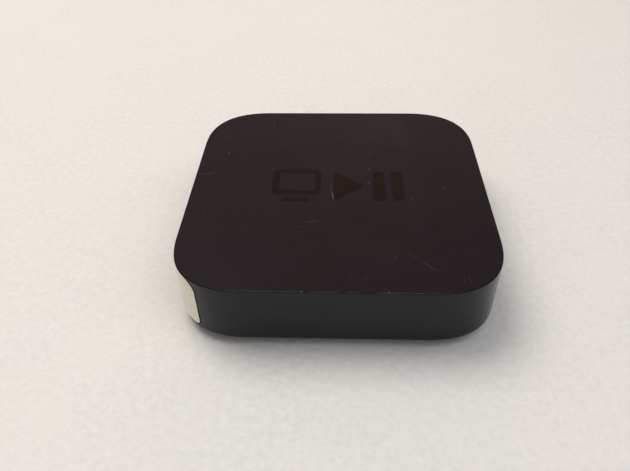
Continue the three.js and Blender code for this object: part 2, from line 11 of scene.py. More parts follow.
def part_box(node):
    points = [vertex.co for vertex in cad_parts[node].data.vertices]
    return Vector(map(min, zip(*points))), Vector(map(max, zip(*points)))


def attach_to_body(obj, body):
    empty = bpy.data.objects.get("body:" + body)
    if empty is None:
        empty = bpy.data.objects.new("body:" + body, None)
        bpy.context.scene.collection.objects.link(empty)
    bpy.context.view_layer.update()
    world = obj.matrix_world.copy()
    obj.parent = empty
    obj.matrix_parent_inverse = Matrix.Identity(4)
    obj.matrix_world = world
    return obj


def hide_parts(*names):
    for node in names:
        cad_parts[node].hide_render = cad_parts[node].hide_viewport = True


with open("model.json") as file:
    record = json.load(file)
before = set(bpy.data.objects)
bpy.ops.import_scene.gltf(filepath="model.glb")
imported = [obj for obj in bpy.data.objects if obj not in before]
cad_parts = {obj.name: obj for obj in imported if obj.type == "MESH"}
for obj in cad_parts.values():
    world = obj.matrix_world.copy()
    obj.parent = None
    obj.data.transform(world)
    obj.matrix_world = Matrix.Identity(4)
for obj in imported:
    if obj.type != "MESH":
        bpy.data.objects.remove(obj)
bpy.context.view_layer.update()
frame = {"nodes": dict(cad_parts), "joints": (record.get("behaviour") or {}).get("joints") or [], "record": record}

MM = 0.001
TOUCH = 0.01 * MM  # two places closer than this are the same place
REST = 0.1 * MM  # the gap between pieces that all but touch
RUN_IN = 0.1 * MM  # how far a block runs into another that it is joined to

# The box's corners are superellipses, which the bevel tool's profile also draws.
CORNER_POWER = 2.5
CORNER_PROFILE = 2 ** (-2 / CORNER_POWER)
CORNER_REACH = 23.5 * MM

CASE_LOW, CASE_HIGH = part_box("upper_case")


# ---------------------------------------------------------------- modelling by hand


def deselect():
    bpy.ops.object.select_all(action="DESELECT")


def pick(piece):
    """Makes a piece the only selected object."""
    deselect()
    piece.select_set(True)
    bpy.context.view_layer.objects.active = piece


def settle(name):
    """Names the new primitive and moves its place into its mesh."""
    piece = bpy.context.object
    piece.name = name
    piece.data.name = name
    bpy.ops.object.transform_apply(location=True, rotation=True, scale=True)
    return piece


def add_block(name, low, high):
    deselect()
    low, high = Vector(low), Vector(high)
    bpy.ops.mesh.primitive_cube_add(size=1, location=(low + high) / 2, scale=high - low)
    return settle(name)


AXIS_TURNS = {"x": (0, math.pi / 2, 0), "y": (math.pi / 2, 0, 0), "z": (0, 0, 0)}


def add_rod(name, axis, radius, low, high, sides=32):
    """A cylinder between the middles of its two ends."""
    deselect()
    low, high = Vector(low), Vector(high)
    bpy.ops.mesh.primitive_cylinder_add(
        vertices=sides,
        radius=radius,
        depth=(high - low).length,
        location=(low + high) / 2,
        rotation=AXIS_TURNS[axis],
    )
    return settle(name)


def open_mesh(piece):
    pick(piece)
    bpy.ops.object.mode_set(mode="EDIT")


def close_mesh():
    bpy.ops.object.mode_set(mode="OBJECT")


def choose(kind, test):
    """Selects what passes the test in the open mesh: its VERT, EDGE or FACE items."""
    bpy.ops.mesh.select_mode(type=kind)
    bpy.ops.mesh.select_all(action="DESELECT")
    mesh = bmesh.from_edit_mesh(bpy.context.object.data)
    for item in {"VERT": mesh.verts, "EDGE": mesh.edges, "FACE": mesh.faces}[kind]:
        if test(item):
            item.select_set(True)
    mesh.select_flush_mode()
    bmesh.update_edit_mesh(bpy.context.object.data)


def along(axis):
    """Tests an edge for running along an axis."""
    number = "xyz".index(axis)
    return lambda edge: abs((edge.verts[0].co - edge.verts[1].co).normalized()[number]) > 0.999


def lying_at(axis, place):
    """Tests an item for having all its corners at a place on an axis."""
    number = "xyz".index(axis)
    return lambda item: all(abs(vert.co[number] - place) < TOUCH for vert in corners(item))


def corners(item):
    return [item] if isinstance(item, bmesh.types.BMVert) else item.verts


def facing(direction):
    """Tests a face for looking straight along a direction."""
    return lambda face: face.normal.dot(Vector(direction)) > 0.999


def every(*tests):
    return lambda item: all(test(item) for test in tests)


def sharp(edge):
    return edge.calc_face_angle(0) > math.radians(60)


def round_off(piece, test, width, steps=3, profile=0.5):
    """Rounds the edges that pass the test."""
    open_mesh(piece)
    choose("EDGE", test)
    bpy.ops.mesh.bevel(offset=width, segments=steps, profile=profile, affect="EDGES")
    close_mesh()
    return piece


def push(piece, test, move, rim=0):
    """Insets the chosen faces by rim and extrudes them by move."""
    open_mesh(piece)
    choose("FACE", test)
    if rim:
        bpy.ops.mesh.inset(thickness=rim)
    bpy.ops.mesh.extrude_region_move(TRANSFORM_OT_translate={"value": Vector(move)})
    close_mesh()
    return piece


def draw_out(piece, test, steps):
    """Extrudes the chosen face by one step after another, given in millimetres."""
    open_mesh(piece)
    choose("FACE", test)
    for step in steps:
        bpy.ops.mesh.extrude_region_move(TRANSFORM_OT_translate={"value": Vector(step) * MM})
    close_mesh()
    return piece


def use(piece, kind, **settings):
    """Adds a modifier and applies it."""
    pick(piece)
    modifier = piece.modifiers.new(kind.title(), kind)
    for key, value in settings.items():
        setattr(modifier, key, value)
    bpy.ops.object.modifier_apply(modifier=modifier.name)
    return piece


def combine(piece, others, operation):
    """Cuts or unites a piece with others, which are used up."""
    for other in others:
        use(piece, "BOOLEAN", object=other, operation=operation, solver="EXACT")
        bpy.data.objects.remove(other)
    return piece


def gather(name, parts):
    """Makes one object of several, which stay separate shells."""
    deselect()
    for part in parts:
        part.select_set(True)
    bpy.context.view_layer.objects.active = parts[0]
    bpy.ops.object.join()
    parts[0].name = name
    parts[0].data.name = name
    return parts[0]


def repeat(piece, moves):
    """Copies of a piece, each with its own mesh, at the given moves from it."""
    made = []
    for move in moves:
        pick(piece)
        bpy.ops.object.duplicate()
        copy = bpy.context.object
        copy.data.transform(Matrix.Translation(move))
        made.append(copy)
    return made


def smooth(piece, angle=30):
    """Shades soft faces smooth, keeps the sharp edges, and lets the wide faces stay flat."""
    pick(piece)
    bpy.ops.object.shade_smooth_by_angle(angle=math.radians(angle))
    return use(piece, "WEIGHTED_NORMAL", keep_sharp=True)


def rounded_square(name, low, high, reach, steps=24):
    """A block with the box's superellipse corners."""
    piece = add_block(name, low, high)
    return round_off(piece, along("z"), reach, steps, CORNER_PROFILE)


def attach(piece, body, slot, *nodes):
    """Lets a piece ride on its body, in place of CAD nodes. Its slot is not used."""
    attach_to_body(piece, body)
    if nodes:
        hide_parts(*nodes)
    return piece


def dress(piece, body, slot, *nodes):
    """Gives a piece the finish of its slot, and attaches it."""
    piece.data.materials.append(finishes[slot])
    return attach(piece, body, slot, *nodes)


def inset_box(low, high, inset):
    """A box's corners, moved inwards in X and Y."""
    step = Vector((inset, inset, 0))
    return Vector(low) + step, Vector(high) - step


# ---------------------------------------------------------------- finishes


def colour(hex_code, alpha=1.0):
    """An sRGB hex colour as linear red, green, blue and alpha."""
    channels = [int(hex_code[i : i + 2], 16) / 255 for i in (1, 3, 5)]
    linear = [c / 12.92 if c <= 0.04045 else ((c + 0.055) / 1.055) ** 2.4 for c in channels]
    return (*linear, alpha)


def add_node(tree, kind, inputs=None, **settings):
    """Adds a node. inputs gives a socket, by name or number, a value or another node's output."""
    made = tree.nodes.new(kind)
    for key, value in settings.items():
        setattr(made, key, value)
    for key, value in (inputs or {}).items():
        if isinstance(value, bpy.types.NodeSocket):
            tree.links.new(value, made.inputs[key])
        else:
            made.inputs[key].default_value = value
    return made


def new_finish(name):
    """A new material, its tree and shader, and the place on the object that its patterns read."""
    material = bpy.data.materials.new(name)
    material.use_nodes = True
    tree = material.node_tree
    place = add_node(tree, "ShaderNodeTexCoord").outputs["Object"]
    return material, tree, tree.nodes["Principled BSDF"], place


def per_metre(size_mm):
    """A texture scale whose features are this many millimetres across."""
    return 1 / (size_mm * MM)


def cloudy(tree, place, size_mm, low, high, detail=3.0, edge=0.15):
    """A pattern of soft clouds of one size, which swings from low to high."""
    inputs = {"Vector": place, "Scale": per_metre(size_mm), "Detail": detail, "Roughness": 0.6}
    clouds = add_node(tree, "ShaderNodeTexNoise", inputs).outputs["Fac"]
    inputs = {
        "Value": clouds,
        "From Min": 0.5 - edge,
        "From Max": 0.5 + edge,
        "To Min": low,
        "To Max": high,
    }
    return add_node(tree, "ShaderNodeMapRange", inputs).outputs["Result"]


def paint(tree, shader, ground, *layers):
    """Colours the surface: a ground, and layers that each cover it as far as their mask says."""
    for mask, tint in layers:
        blend = add_node(tree, "ShaderNodeMix", {0: mask, 6: ground, 7: tint}, data_type="RGBA")
        ground = blend.outputs[2]
    tree.links.new(ground, shader.inputs["Base Color"])


def emboss(tree, shader, height, relief_mm):
    """Lets a pattern stand up from the surface by this much."""
    inputs = {"Height": height, "Strength": 1.0, "Distance": relief_mm * MM}
    bump = add_node(tree, "ShaderNodeBump", inputs)
    tree.links.new(bump.outputs["Normal"], shader.inputs["Normal"])


def even_finish(
    name, dark, light, gloss, grain_mm, relief_mm, metallic=0.0, ior=1.5, specular=0.5
):
    """A finish of one colour that drifts over 9 mm and is smeared over 3 mm, on a fine grain.

    gloss is the roughness at its least and at its most.
    """
    material, tree, shader, place = new_finish(name)
    paint(tree, shader, colour(dark), (cloudy(tree, place, 9, 0.0, 1.0), colour(light)))
    smears = cloudy(tree, place, 3, gloss[0], gloss[1], 4.0)
    tree.links.new(smears, shader.inputs["Roughness"])
    emboss(tree, shader, cloudy(tree, place, grain_mm, 0.0, 1.0, 2.0, 0.3), relief_mm)
    shader.inputs["Metallic"].default_value = metallic
    shader.inputs["IOR"].default_value = ior
    shader.inputs["Specular IOR Level"].default_value = specular
    return material


# What has scratched the top: start, end and width in millimetres, and how pale it is. A real scratch
# here is about 0.1 mm wide, and they are drawn several times wider, because a line that thin wouldn't show.
TOP_MARKS = [
    ((-42, 30.6), (-41.8, 30), 0.7, 0.09),
    ((-39.5, 20.2), (-39.3, 19.4), 0.8, 0.12),
    ((-42.6, -14), (-42.4, -14.7), 0.6, 0.06),
    ((-48, 6.2), (-45.2, 7.3), 0.7, 0.05),
    ((-45.6, 6.6), (-42.4, 7.6), 0.6, 0.09),
    ((-24.8, 42.5), (-24.4, 37.5), 0.5, 0.05),
    ((-6.3, 45), (-5.6, 45), 0.5, 0.1),
    ((11.3, 24), (11.6, 16.5), 0.4, 0.05),
    ((10.9, 10.8), (10.8, 9.6), 0.6, 0.1),
    ((10.3, 2), (10.2, 1.2), 0.6, 0.13),
    ((-7.7, -3.3), (-7.5, -3.9), 0.7, 1),
    ((-2.4, 2), (-1.9, -3.2), 0.35, 0.08),
    ((-2, -2.4), (-1.2, -7.8), 0.45, 0.21),
    ((-10.6, -18.8), (-5.2, -18.2), 0.5, 0.07),
    ((-13.4, -21.3), (-9, -21.3), 0.5, 0.03),
    ((34, -2.2), (36.2, 0.6), 0.4, 0.05),
    ((34.4, 0.6), (35.8, -2), 0.4, 0.04),
    ((24, -6.4), (24.5, -6.6), 0.6, 0.09),
    ((19.6, -31.4), (24.5, -36.4), 0.6, 0.03),
    ((23.4, -35.2), (29.4, -41.2), 0.7, 0.04),
    ((16.6, -34.6), (17, -35.1), 0.6, 0.07),
    ((24, -20.2), (26.8, -21.2), 0.5, 0.03),
    ((36.6, -41), (37.3, -45.6), 0.4, 0.04),
    ((35.2, -42.6), (35.3, -45.2), 0.4, 0.04),
    ((7.8, -43), (9.4, -43.2), 0.5, 0.05),
    ((-25.9, -48.4), (-25.6, -48.5), 0.3, 0.2),
    ((-10, -48.7), (-9.5, -48.7), 0.4, 0.32),
    ((14.1, -48.3), (14.4, -48.6), 0.35, 0.3),
    ((13.2, -47.5), (13.3, -47.6), 0.35, 0.16),
]


def scratch(tree, place, start, end, width, strength, under):
    """Adds one scratch, tapered to its ends, to the mask under it."""
    middle = (Vector(start) + Vector(end)) / 2 * MM
    run = (Vector(end) - Vector(start)) * MM
    inputs = {
        "Vector": place,
        "Location": (middle.x, middle.y, CASE_HIGH.z),
        "Rotation": (0, 0, math.atan2(run.y, run.x)),
        "Scale": (run.length / 2 + width * MM / 2, width * MM / 2, 2 * MM),
    }
    moved = add_node(tree, "ShaderNodeMapping", inputs, vector_type="TEXTURE")
    away = add_node(tree, "ShaderNodeVectorMath", {0: moved.outputs[0]}, operation="LENGTH")
    inputs = {
        "Value": away.outputs["Value"],
        "From Min": 0.3,
        "From Max": 1.0,
        "To Min": strength,
        "To Max": 0.0,
    }
    line = add_node(tree, "ShaderNodeMapRange", inputs).outputs["Result"]
    return add_node(tree, "ShaderNodeMath", {0: under, 1: line}, operation="MAXIMUM").outputs[0]


def hairlines(tree, place, turn, strength, under):
    """Adds faint straight rub marks that all run one way to the mask under them.

    A real rub mark is a few hundredths of a millimetre wide. They are drawn 0.45 mm wide, to show.
    """
    inputs = {"Vector": place, "Rotation": (0, 0, turn), "Scale": (16 * MM, 0.45 * MM, 16 * MM)}
    moved = add_node(tree, "ShaderNodeMapping", inputs, vector_type="TEXTURE").outputs[0]
    inputs = {"Vector": moved, "Scale": 1.0, "Detail": 1.0}
    lines = add_node(tree, "ShaderNodeTexNoise", inputs).outputs["Fac"]
    inputs = {"Value": lines, "From Min": 0.72, "From Max": 0.84, "To Min": 0.0, "To Max": strength}
    few = add_node(tree, "ShaderNodeMapRange", inputs).outputs["Result"]
    return add_node(tree, "ShaderNodeMath", {0: under, 1: few}, operation="MAXIMUM").outputs[0]


def dust(tree, place, strength, under):
    """Adds pale specks, 4 mm apart and 0.2 to 0.6 mm across, to the mask under them."""
    inputs = {"Vector": place, "Scale": per_metre(4)}
    nearest = add_node(tree, "ShaderNodeTexVoronoi", inputs).outputs["Distance"]
    here = cloudy(tree, place, 5, 0.0, strength, 0.0, 0.12)
    inputs = {"Value": nearest, "From Min": 0.03, "From Max": 0.07, "To Min": here, "To Max": 0.0}
    specks = add_node(tree, "ShaderNodeMapRange", inputs).outputs["Result"]
    return add_node(tree, "ShaderNodeMath", {0: under, 1: specks}, operation="MAXIMUM").outputs[0]


def worn_edge_and_highlight(tree, place, strength):
    """The thin pale line along the front of the top edge, broken along its length: partly rubbed wear, partly a
    painted highlight on the edge's rounding.
    """
    apart = add_node(tree, "ShaderNodeSeparateXYZ", {0: place}).outputs
    broken = cloudy(tree, place, 6, 0.0, strength, 4.0, 0.1)
    limits = {"From Min": CASE_LOW.y + 0.45 * MM, "From Max": CASE_LOW.y + 1.2 * MM}
    inputs = {"Value": apart[1], **limits, "To Min": broken, "To Max": 0.0}
    front = add_node(tree, "ShaderNodeMapRange", inputs).outputs[0]
    limits = {"From Min": CASE_HIGH.z - 0.20 * MM, "From Max": CASE_HIGH.z - 0.12 * MM}
    inputs = {"Value": apart[2], **limits, "To Min": 0.0, "To Max": front}
    rise = add_node(tree, "ShaderNodeMapRange", inputs).outputs[0]
    limits = {"From Min": CASE_HIGH.z - 0.08 * MM, "From Max": CASE_HIGH.z - 0.02 * MM}
    inputs = {"Value": apart[2], **limits, "To Min": rise, "To Max": 0.0}
    return add_node(tree, "ShaderNodeMapRange", inputs).outputs[0]


ABS_IOR = 1.54
# Black plastic that has been scraped turns pale. The same colour also paints the highlight along the front top
# edge.
PALE_WEAR_AND_HIGHLIGHT = colour("#b4b2ae")  # black plastic that has been scraped turns pale


def matte_top():
    """ABS moulded with a fine spark texture: a dull, warm black that shows old scratches and specks.

    Hands have worn it in patches of 16 and 28 mm. Its real grain of 0.05 mm is drawn at 0.3, to show.
    """
    material, tree, shader, place = new_finish("spark_textured_abs")
    # The pale line along the front top edge is partly wear, partly a painted highlight.
    marks = worn_edge_and_highlight(tree, place, 0.14)
    for turn in (0.3, 1.4, 2.5):
        marks = hairlines(tree, place, turn, 0.012, marks)
    marks = dust(tree, place, 0.05, marks)
    for start, end, width, strength in TOP_MARKS:
        marks = scratch(tree, place, start, end, width, strength, marks)
    drift = cloudy(tree, place, 28, 0.0, 1.0)
    paint(tree, shader, colour("#181015"), (drift, colour("#1e1419")), (marks, PALE_WEAR_AND_HIGHLIGHT))
    smears = cloudy(tree, place, 16, 0.5, 0.58, 5.0)
    tree.links.new(smears, shader.inputs["Roughness"])
    emboss(tree, shader, cloudy(tree, place, 0.3, 0.0, 1.0, 2.0, 0.3), 0.012)
    shader.inputs["IOR"].default_value = ABS_IOR
    shader.inputs["Specular IOR Level"].default_value = 0.09
    return material


def polished_wall():
    """The same ABS from a polished mould: a smooth neutral black that mirrors the light softly.

    Its smears are a fingertip's, 7 mm across. Its ripple of 12 mm is the plastic's shrinkage.
    """
    material, tree, shader, place = new_finish("polished_abs")
    drift = cloudy(tree, place, 20, 0.0, 1.0)
    # The pale line along the front top edge is partly wear, partly a painted highlight.
    wear_and_highlight = worn_edge_and_highlight(tree, place, 0.14)
    paint(tree, shader, colour("#16171d"), (drift, colour("#1b1c22")), (wear_and_highlight, PALE_WEAR_AND_HIGHLIGHT))
    tree.links.new(cloudy(tree, place, 7, 0.14, 0.24, 5.0), shader.inputs["Roughness"])
    emboss(tree, shader, cloudy(tree, place, 12, 0.0, 1.0, 1.0, 0.3), 0.02)
    shader.inputs["IOR"].default_value = ABS_IOR
    shader.inputs["Specular IOR Level"].default_value = 0.22
    return material


def gloss_print():
    """Clear lacquer printed on the textured top: smoother than it, so it looks deeper and browner.

    Its 2.5 mm patches are where fingers have rubbed it.
    """
    material, tree, shader, place = new_finish("printed_lacquer")
    rubbed = cloudy(tree, place, 2.5, 0.0, 1.0, 5.0, 0.2)
    paint(tree, shader, colour("#1c1210"), (rubbed, colour("#241916")))
    tree.links.new(cloudy(tree, place, 2.5, 0.42, 0.5, 5.0, 0.2), shader.inputs["Roughness"])
    shader.inputs["IOR"].default_value = 1.49
    shader.inputs["Specular IOR Level"].default_value = 0.03
    return material


def make_finishes():
    """The finish of each material slot but the upper shell's, and that of the painted shade round the label.

    Each gives its colours, its roughness, its grain and the height of the grain in millimetres.
    A metal's grain is the slight unevenness that plating, pressing or rolling leaves.
    """
    return {
        # Matte ABS: flat black that never shines. Its 0.05 mm grain is drawn coarser, to show.
        "cover_plastic": even_finish("moulded_abs", "#0d0d0e", "#151516", (0.5, 0.65), 0.3, 0.03, ior=1.54),
        # Silicone rubber: the dullest black of all. Its 0.05 mm grain is drawn coarser, to show.
        "foot_rubber": even_finish(
            "moulded_silicone_rubber", "#0c0c0c", "#141413", (0.75, 0.9), 0.35, 0.03, ior=1.41
        ),
        # Uncoated paper: warm off-white with no shine, and clumps of fibre half a millimetre across.
        "label_paper": even_finish("uncoated_label_paper", "#ebe5d8", "#f2ede1", (0.55, 0.75), 0.5, 0.01),
        # Painted shade: a dead black line round the paper, where its raised edge shades the wall. Its grain is
        # drawn coarser.
        "label_edge_shade": even_finish(
            "painted_label_edge_shade", "#020202", "#060505", (0.8, 0.95), 0.3, 0.01, specular=0.1
        ),
        # Satin PBT: black with a weak sheen. Its 0.05 mm grain is drawn coarser, to show.
        "socket_plastic": even_finish(
            "moulded_pbt", "#08080a", "#0e0e10", (0.35, 0.5), 0.25, 0.015, ior=1.57
        ),
        # Bright nickel plate: warm grey metal with a sharp highlight.
        "contact_nickel": even_finish("nickel_plate", "#b9b09c", "#cfc7b6", (0.2, 0.35), 0.4, 0.004, 1.0),
        # Gold plate: deep yellow metal with a sharp highlight.
        "contact_gold": even_finish("gold_plate", "#c79a3e", "#dcb257", (0.2, 0.34), 0.4, 0.004, 1.0),
        # Tinned steel: grey, softly reflecting metal, uneven from the press.
        "socket_steel": even_finish("tinned_steel", "#8f9193", "#a9abac", (0.28, 0.45), 0.6, 0.006, 1.0),
        # Zinc plated steel: grey metal, a little duller than the sockets.
        "screw_steel": even_finish("zinc_plated_steel", "#8d8f92", "#a7a9ab", (0.3, 0.45), 0.5, 0.006, 1.0),
        # Tin plate: pale satin metal with a broad, soft reflection.
        "shield_tin": even_finish("tin_plate", "#9ea0a1", "#b4b6b6", (0.3, 0.5), 0.8, 0.006, 1.0),
        "board_laminate": board_laminate(),
        # Moulded epoxy: dull charcoal. Its 0.05 mm filler grain is drawn coarser, to show.
        "chip_epoxy": even_finish("moulded_epoxy", "#121314", "#1a1b1c", (0.5, 0.65), 0.15, 0.01, ior=1.55),
        # Undyed nylon: creamy white with a weak sheen. Its grain is drawn coarser, to show.
        "connector_nylon": even_finish(
            "moulded_nylon", "#c9c5b6", "#d6d2c5", (0.4, 0.55), 0.4, 0.01, ior=1.53
        ),
        # Rolled aluminium: pale cool metal with a broad, soft reflection.
        "spreader_aluminium": even_finish(
            "rolled_aluminium", "#a9acae", "#bec0c2", (0.3, 0.48), 0.5, 0.01, 1.0
        ),
        # Soft silicone pad: flat blue grey. Its grain is drawn coarser, to show.
        "thermal_silicone": even_finish(
            "soft_silicone", "#767d83", "#868d92", (0.7, 0.85), 0.4, 0.02, ior=1.41
        ),
        # Fish paper: stiff, creamy insulating board with half-millimetre clumps of fibre.
        "tray_paper": even_finish("fish_paper", "#d5d2c5", "#e0ddd2", (0.65, 0.8), 0.5, 0.02, ior=1.53),
        # Sintered ferrite: dull grey, slightly glinting. Its grain is drawn coarser, to show.
        "ferrite": even_finish("sintered_ferrite", "#242425", "#303031", (0.5, 0.7), 0.3, 0.02, ior=2.3),
        # Polyester tape: glossy amber, uneven over the turns of wire under it.
        "winding_tape": even_finish(
            "polyester_tape", "#c99a1e", "#d8ab34", (0.3, 0.45), 1.2, 0.02, ior=1.57
        ),
        # Glass filled nylon: satin black. Its glass grain is drawn coarser, to show.
        "bobbin_nylon": even_finish("filled_nylon", "#17181a", "#202123", (0.45, 0.6), 0.4, 0.015, ior=1.53),
        # Shrunk PVC sleeve: glossy blue black with soft wrinkles.
        "capacitor_sleeve": even_finish(
            "shrunk_pvc_sleeve", "#141922", "#1c222c", (0.25, 0.4), 0.8, 0.01, ior=1.53
        ),
        # Drawn aluminium: bright metal, the shiniest in the box.
        "capacitor_can": even_finish("drawn_aluminium", "#b4b6b8", "#c8cacb", (0.22, 0.36), 0.5, 0.005, 1.0),
        # PBT box: mustard yellow with a weak sheen. Its grain is drawn coarser, to show.
        "film_box": even_finish("moulded_pbt_box", "#b98c22", "#c99d33", (0.35, 0.5), 0.4, 0.01, ior=1.57),
        # Unglazed ceramic: chalky cream. Its grain is drawn coarser, to show.
        "fuse_ceramic": even_finish(
            "unglazed_ceramic", "#cfcabb", "#dcd8cb", (0.6, 0.75), 0.3, 0.015, ior=1.76
        ),
        # Enamelled copper wire: glossy red brown, in lumps as coarse as its half-millimetre turns.
        "wound_copper": even_finish("enamelled_copper", "#8f4520", "#b05d2e", (0.22, 0.36), 0.5, 0.06, 1.0),
        # Rolled copper foil: warm, softly reflecting metal.
        "antenna_copper": even_finish("rolled_copper", "#a85f34", "#bf7445", (0.25, 0.4), 0.5, 0.006, 1.0),
        # PVC insulation: plain red with a weak sheen, faintly lumpy.
        "lead_red": even_finish("red_pvc", "#8c1714", "#a2201b", (0.4, 0.5), 0.6, 0.01, ior=1.53),
        # PVC insulation: plain black with a weak sheen, faintly lumpy.
        "lead_black": even_finish("black_pvc", "#101012", "#17171a", (0.4, 0.5), 0.6, 0.01, ior=1.53),
        # Polyimide film: glossy amber, very slightly wavy.
        "ribbon_film": even_finish("polyimide_film", "#a2621c", "#b57327", (0.25, 0.4), 0.6, 0.006, ior=1.7),
        "clear_plastic": clear_plastic(),
    }


def board_laminate():
    """Glass epoxy board under green solder resist: satin green with paler tracks showing through.

    Real tracks are about 0.2 mm apart. They are drawn 0.8 mm apart, to show.
    """
    material, tree, shader, place = new_finish("glass_epoxy_board")
    inputs = {
        "Vector": place,
        "Scale": per_metre(5),
        "Mortar Size": 0.06,
        "Brick Width": 0.9,
        "Row Height": 0.16,
    }
    tracks = add_node(tree, "ShaderNodeTexBrick", inputs).outputs["Fac"]
    paint(tree, shader, colour("#123d26"), (tracks, colour("#1f5a39")))
    shader.inputs["Roughness"].default_value = 0.38
    emboss(tree, shader, tracks, 0.015)
    return material


def clear_plastic():
    """Moulded clear acrylic: a faint blue cast and 1.5 mm clouds, like the flow of the melt."""
    material, tree, shader, place = new_finish("clear_acrylic")
    paint(tree, shader, colour("#e3e9ee"), (cloudy(tree, place, 1.5, 0.0, 1.0), colour("#f2f5f7")))
    tree.links.new(cloudy(tree, place, 1.5, 0.08, 0.2), shader.inputs["Roughness"])
    shader.inputs["Transmission Weight"].default_value = 0.9
    shader.inputs["IOR"].default_value = 1.49
    return material


# ---------------------------------------------------------------- floor, light and camera

# Where the camera stands, how it is turned (heading, tilt down and lean) and its lens on 36 mm.
CAMERA_PLACE = Vector((-0.035, -162.221, 142.185)) * MM
CAMERA_HEADING = math.radians(-2.80)
CAMERA_TILT = math.radians(40.99)
CAMERA_LEAN = math.radians(-1.276)
CAMERA_LENS = 34.23
SENSOR_WIDTH = 36


def add_camera():
    deselect()
    bpy.ops.object.camera_add(location=CAMERA_PLACE)
    camera = bpy.context.object
    tilt = math.cos(CAMERA_TILT)
    ahead = Vector(
        (math.sin(CAMERA_HEADING) * tilt, math.cos(CAMERA_HEADING) * tilt, -math.sin(CAMERA_TILT))
    )
    right = Vector((math.cos(CAMERA_HEADING), -math.sin(CAMERA_HEADING), 0))
    above = right.cross(ahead)
    level = Matrix((right, above, -ahead)).transposed()
    camera.rotation_euler = (level @ Matrix.Rotation(CAMERA_LEAN, 3, "Z")).to_euler()
    camera.data.sensor_width = SENSOR_WIDTH
    camera.data.lens = CAMERA_LENS
    camera.data.clip_start = 1 * MM
    bpy.context.scene.camera = camera


FOAM_CELL_MM = 2.2
FLOOR_SIZE = 4


def add_floor():
    """Foam sheet: a pale warm ground, dull, with a faint grain of its own cells."""
    deselect()
    bpy.ops.mesh.primitive_plane_add(size=FLOOR_SIZE)
    floor = settle("floor")
    material, tree, shader, place = new_finish("pale_foam_sheet")
    cells = cloudy(tree, place, FOAM_CELL_MM, 0.0, 1.0, 4.0, 0.17)
    clouds = cloudy(tree, place, 30, 0.0, 0.5)
    paint(tree, shader, colour("#e4e2de"), (cells, colour("#efedea")), (clouds, colour("#eeebe7")))
    shader.inputs["Roughness"].default_value = 0.6
    emboss(tree, shader, cells, 0.1)
    floor.data.materials.append(material)


def add_light(name, place, aim, size, power, tint):
    deselect()
    bpy.ops.object.light_add(type="AREA", location=place)
    light = bpy.context.object
    light.name = name
    light.rotation_euler = (Vector(aim) - Vector(place)).to_track_quat("-Z", "Y").to_euler()
    light.data.shape = "DISK"
    light.data.size = size
    light.data.energy = power
    light.data.color = colour(tint)[:3]


def add_lighting():
    """A pale even studio, a large key light from the left, a weak fill and a warm light behind."""
    world = bpy.data.worlds.new("studio")
    world.use_nodes = True
    background = world.node_tree.nodes["Background"]
    background.inputs["Color"].default_value = colour("#f0f0ef")
    background.inputs["Strength"].default_value = 0.44
    bpy.context.scene.world = world
    add_light("key", (-0.45, 0.33, 1.05), (0, 0, 0), 0.8, 8.0, "#fff8ef")
    add_light("fill", (0.5, -0.1, 1.0), (0, 0, 0), 0.8, 2.0, "#eef3ff")
    add_light("back", (0.1, 1.2, 0.5), (0, 0, 0), 0.6, 1.2, "#ffd9a8")
    bpy.context.scene.view_settings.view_transform = "Standard"


# ---------------------------------------------------------------- case

# Sizes of the sockets that the openings in the rear wall also follow. The inlet's nose is round at
# its ends, and its two wells are lobes joined by a web.
INLET_HALF = Vector((9.5, 0, 4.7)) * MM
INLET_PITCH = 8.6 * MM
INLET_LOBE = 3.9 * MM
INLET_WEB = 2.6 * MM

# The two sockets with a tongue: what their corners lose, their sheet, how much of the opening the
# tongue fills, its rows of contacts as count and side, and the contacts' pitch.
VIDEO = {
    "chamfer": 1.9 * MM,
    "sheet": 0.4 * MM,
    "tongue": (0.74, 0.25),
    "rows": ((10, -1), (9, 1)),
    "pitch": 1 * MM,
}
SERVICE = {
    "chamfer": 0.9 * MM,
    "sheet": 0.3 * MM,
    "tongue": (0.55, 0.33),
    "rows": ((5, -1),),
    "pitch": 0.65 * MM,
}

TOP_EDGE = 0.5 * MM
LOWER_EDGE = 1.6 * MM
RIM = 0.4 * MM
LEDGE = CASE_LOW.z + 1.6 * MM  # where the base stops, and the wall grows thicker
LEDGE_WIDTH = 0.6 * MM
WALL = LOWER_EDGE + RIM + LEDGE_WIDTH
CEILING = CASE_HIGH.z - 1.8 * MM
CUT_GAP = 0.15 * MM
CUT_DEPTH = 5 * MM
CUT_CORNER = 0.35 * MM
MOUTH_EDGE = 0.12 * MM
CORNER_STEPS = 28


def socket_cutter(node, chamfer=0):
    """A block that clears a socket and runs out through the rear wall."""
    low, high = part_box(node)
    gap = Vector((CUT_GAP, 0, CUT_GAP))
    low, high = low - gap, high + gap
    low.y = CASE_HIGH.y - CUT_DEPTH
    high.y = CASE_HIGH.y + CUT_DEPTH
    cutter = add_block(f"{node}_cutter", low, high)
    if chamfer:
        round_off(cutter, every(along("y"), lying_at("z", low.z)), chamfer, 1)
    return round_off(cutter, along("y"), CUT_CORNER, 4)


SCREW_BOARDS = {"board_screw": ("logic_board", 4), "power_screw": ("power_board", 2)}
POST_RADIUS = 2.6 * MM
PILOT_RADIUS = 1.15 * MM
RAIL_THICK = 1.3 * MM
RAIL_GAP = 0.3 * MM
WINDOW_THICK = 1 * MM

HOOK_PLACE = 18 * MM
HOOK_HALF = 3 * MM
HOOK_INNER = CASE_HIGH.y - 4 * MM
HOOK_OUTER = CASE_HIGH.y - 2.8 * MM
BARB_FOOT = LEDGE + 1.3 * MM
BARB_PEAK = LEDGE + 1.5 * MM
BARB_REACH = 0.6 * MM
NOTCH_GAP = 0.4 * MM


def on_each_side(piece):
    """Eight copies of what is made at the middle of the rear side, two on each side of the box."""
    made = []
    for quarter in range(4):
        pair = repeat(piece, [(-HOOK_PLACE, 0, 0), (HOOK_PLACE, 0, 0)])
        for copy in pair:
            copy.data.transform(Matrix.Rotation(quarter * math.pi / 2, 4, "Z"))
        made += pair
    bpy.data.objects.remove(piece)
    return made


